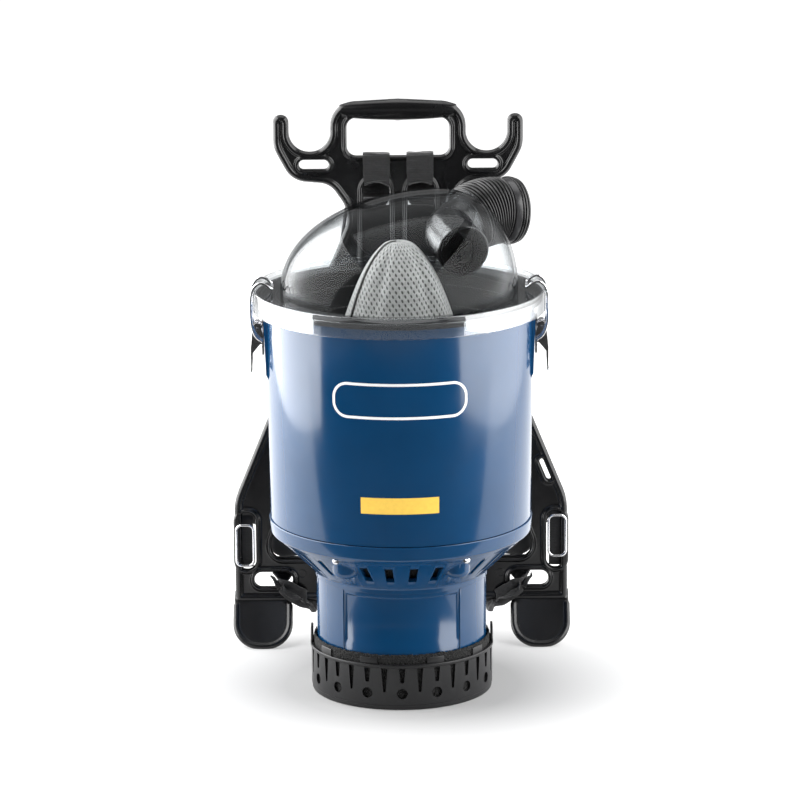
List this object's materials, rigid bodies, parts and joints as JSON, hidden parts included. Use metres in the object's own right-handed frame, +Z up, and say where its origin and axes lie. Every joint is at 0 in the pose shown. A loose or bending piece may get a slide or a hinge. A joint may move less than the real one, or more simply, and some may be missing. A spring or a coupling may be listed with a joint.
{
  "type": "backpack vacuum cleaner",
  "caption": "Backpack vacuum cleaner: canister with clear domed lid and draw latches, filter cone, motor base, exhaust cover, on a moulded harness frame with pads and straps.",
  "frame": {"origin": "on the canister's axis, at the floor that the exhaust cover and the frame's feet stand on", "axes": "+Z up along the canister's axis, -Y to the front of the canister, +X to its right in that view"},
  "size_m": [0.326, 0.3377, 0.536],
  "materials": {
    "blue_plastic": "deep blue, satin gloss",
    "black_moulded": "black moulded, glossy",
    "black_satin": "black satin, fine grain",
    "clear_plastic": "clear polycarbonate",
    "grey_rubber": "dark grey rubber",
    "black_rubber": "black rubber",
    "grey_cloth": "grey perforated filter cloth",
    "black_cloth": "black padded fabric",
    "webbing": "black ribbed webbing",
    "foam": "open-cell foam",
    "chrome": "plated wire and sheet",
    "steel": "pressed steel",
    "grey_plastic": "grey technical plastic"
  },
  "bodies": {
    "chassis": {"canister": "blue_plastic", "vent_housing": "blue_plastic", "motor_housing": "blue_plastic", "harness_frame": "black_moulded", "buckle_socket": "black_moulded", "buckle_plug": "black_moulded", "exhaust_cover": "black_satin", "upper_bracket": "black_satin", "lower_bracket": "black_satin", "switch_bezel": "black_satin", "filter_ring": "black_rubber", "motor_mount": "black_rubber", "motor_seal": "black_rubber", "cable_gland": "black_rubber", "filter_cone": "grey_cloth", "back_pad": "black_cloth", "waist_pad": "black_cloth", "waist_belt": "black_cloth", "shoulder_pad_right": "black_cloth", "shoulder_pad_left": "black_cloth", "top_webbing_right": "webbing", "top_webbing_left": "webbing", "side_webbing_right": "webbing", "side_webbing_left": "webbing", "belt_webbing_right": "webbing", "belt_webbing_left": "webbing", "belt_strap": "webbing", "exhaust_foam": "foam", "latch_base_right": "chrome", "latch_base_left": "chrome", "latch_pin_right": "chrome", "latch_pin_left": "chrome", "side_ring_right": "chrome", "side_ring_left": "chrome", "fan_housing": "steel", "motor_can": "grey_plastic", "chamber_floor": "grey_plastic", "filter_cage": "grey_plastic"},
    "lid": {"lid_dome": "clear_plastic", "lid_seal": "grey_rubber", "inlet_elbow": "black_moulded"},
    "cuff": {"hose_cuff": "black_rubber", "cuff_end_ring": "black_moulded"},
    "lever_right": {"latch_lever_right": "chrome"},
    "lever_left": {"latch_lever_left": "chrome"},
    "bail_right": {"latch_bail_right": "chrome"},
    "bail_left": {"latch_bail_left": "chrome"},
    "fan": {"fan_rotor": "steel"},
    "rocker": {"switch_rocker": "black_moulded"}
  },
  "joints": [
    {"name": "lid_lift", "type": "slide", "parent": "chassis", "child": "lid", "axis": [0, 0, 1], "range_m": [0, 0.025]},
    {"name": "lever_right_turn", "type": "hinge", "parent": "chassis", "child": "lever_right", "pos_m": [0.1326, 0, 0.35], "axis": [0, -1, 0], "range_deg": [0, 160.2]},
    {"name": "lever_left_turn", "type": "hinge", "parent": "chassis", "child": "lever_left", "pos_m": [-0.1326, 0, 0.35], "axis": [0, 1, 0], "range_deg": [0, 160.2]},
    {"name": "bail_right_turn", "type": "hinge", "parent": "lever_right", "child": "bail_right", "pos_m": [0.1283, 0, 0.3376], "axis": [0, 1, 0], "range_deg": [0, 310.2]},
    {"name": "bail_left_turn", "type": "hinge", "parent": "lever_left", "child": "bail_left", "pos_m": [-0.1283, 0, 0.3376], "axis": [0, -1, 0], "range_deg": [0, 310.2]},
    {"name": "cuff_swivel", "type": "hinge", "parent": "lid", "child": "cuff", "pos_m": [0.062, 0.059, 0.436], "axis": [0.7515, 0.6062, 0.2605], "continuous": true},
    {"name": "fan_spin", "type": "hinge", "parent": "chassis", "child": "fan", "pos_m": [0, 0, 0.145], "axis": [0, 0, 1], "continuous": true},
    {"name": "switch_rock", "type": "hinge", "parent": "chassis", "child": "rocker", "pos_m": [0.0826, 0.09844, 0.1602], "axis": [-0.766, 0.6428, 0], "range_deg": [0, 16]}
  ],
  "couplings": [
    {"joint": "lever_right_turn", "follows": "lid_lift", "rad_per_m": 111.7},
    {"joint": "lever_left_turn", "follows": "lid_lift", "rad_per_m": 111.7},
    {"joint": "bail_right_turn", "follows": "lid_lift", "rad_per_m": 216.42},
    {"joint": "bail_left_turn", "follows": "lid_lift", "rad_per_m": 216.42}
  ]
}
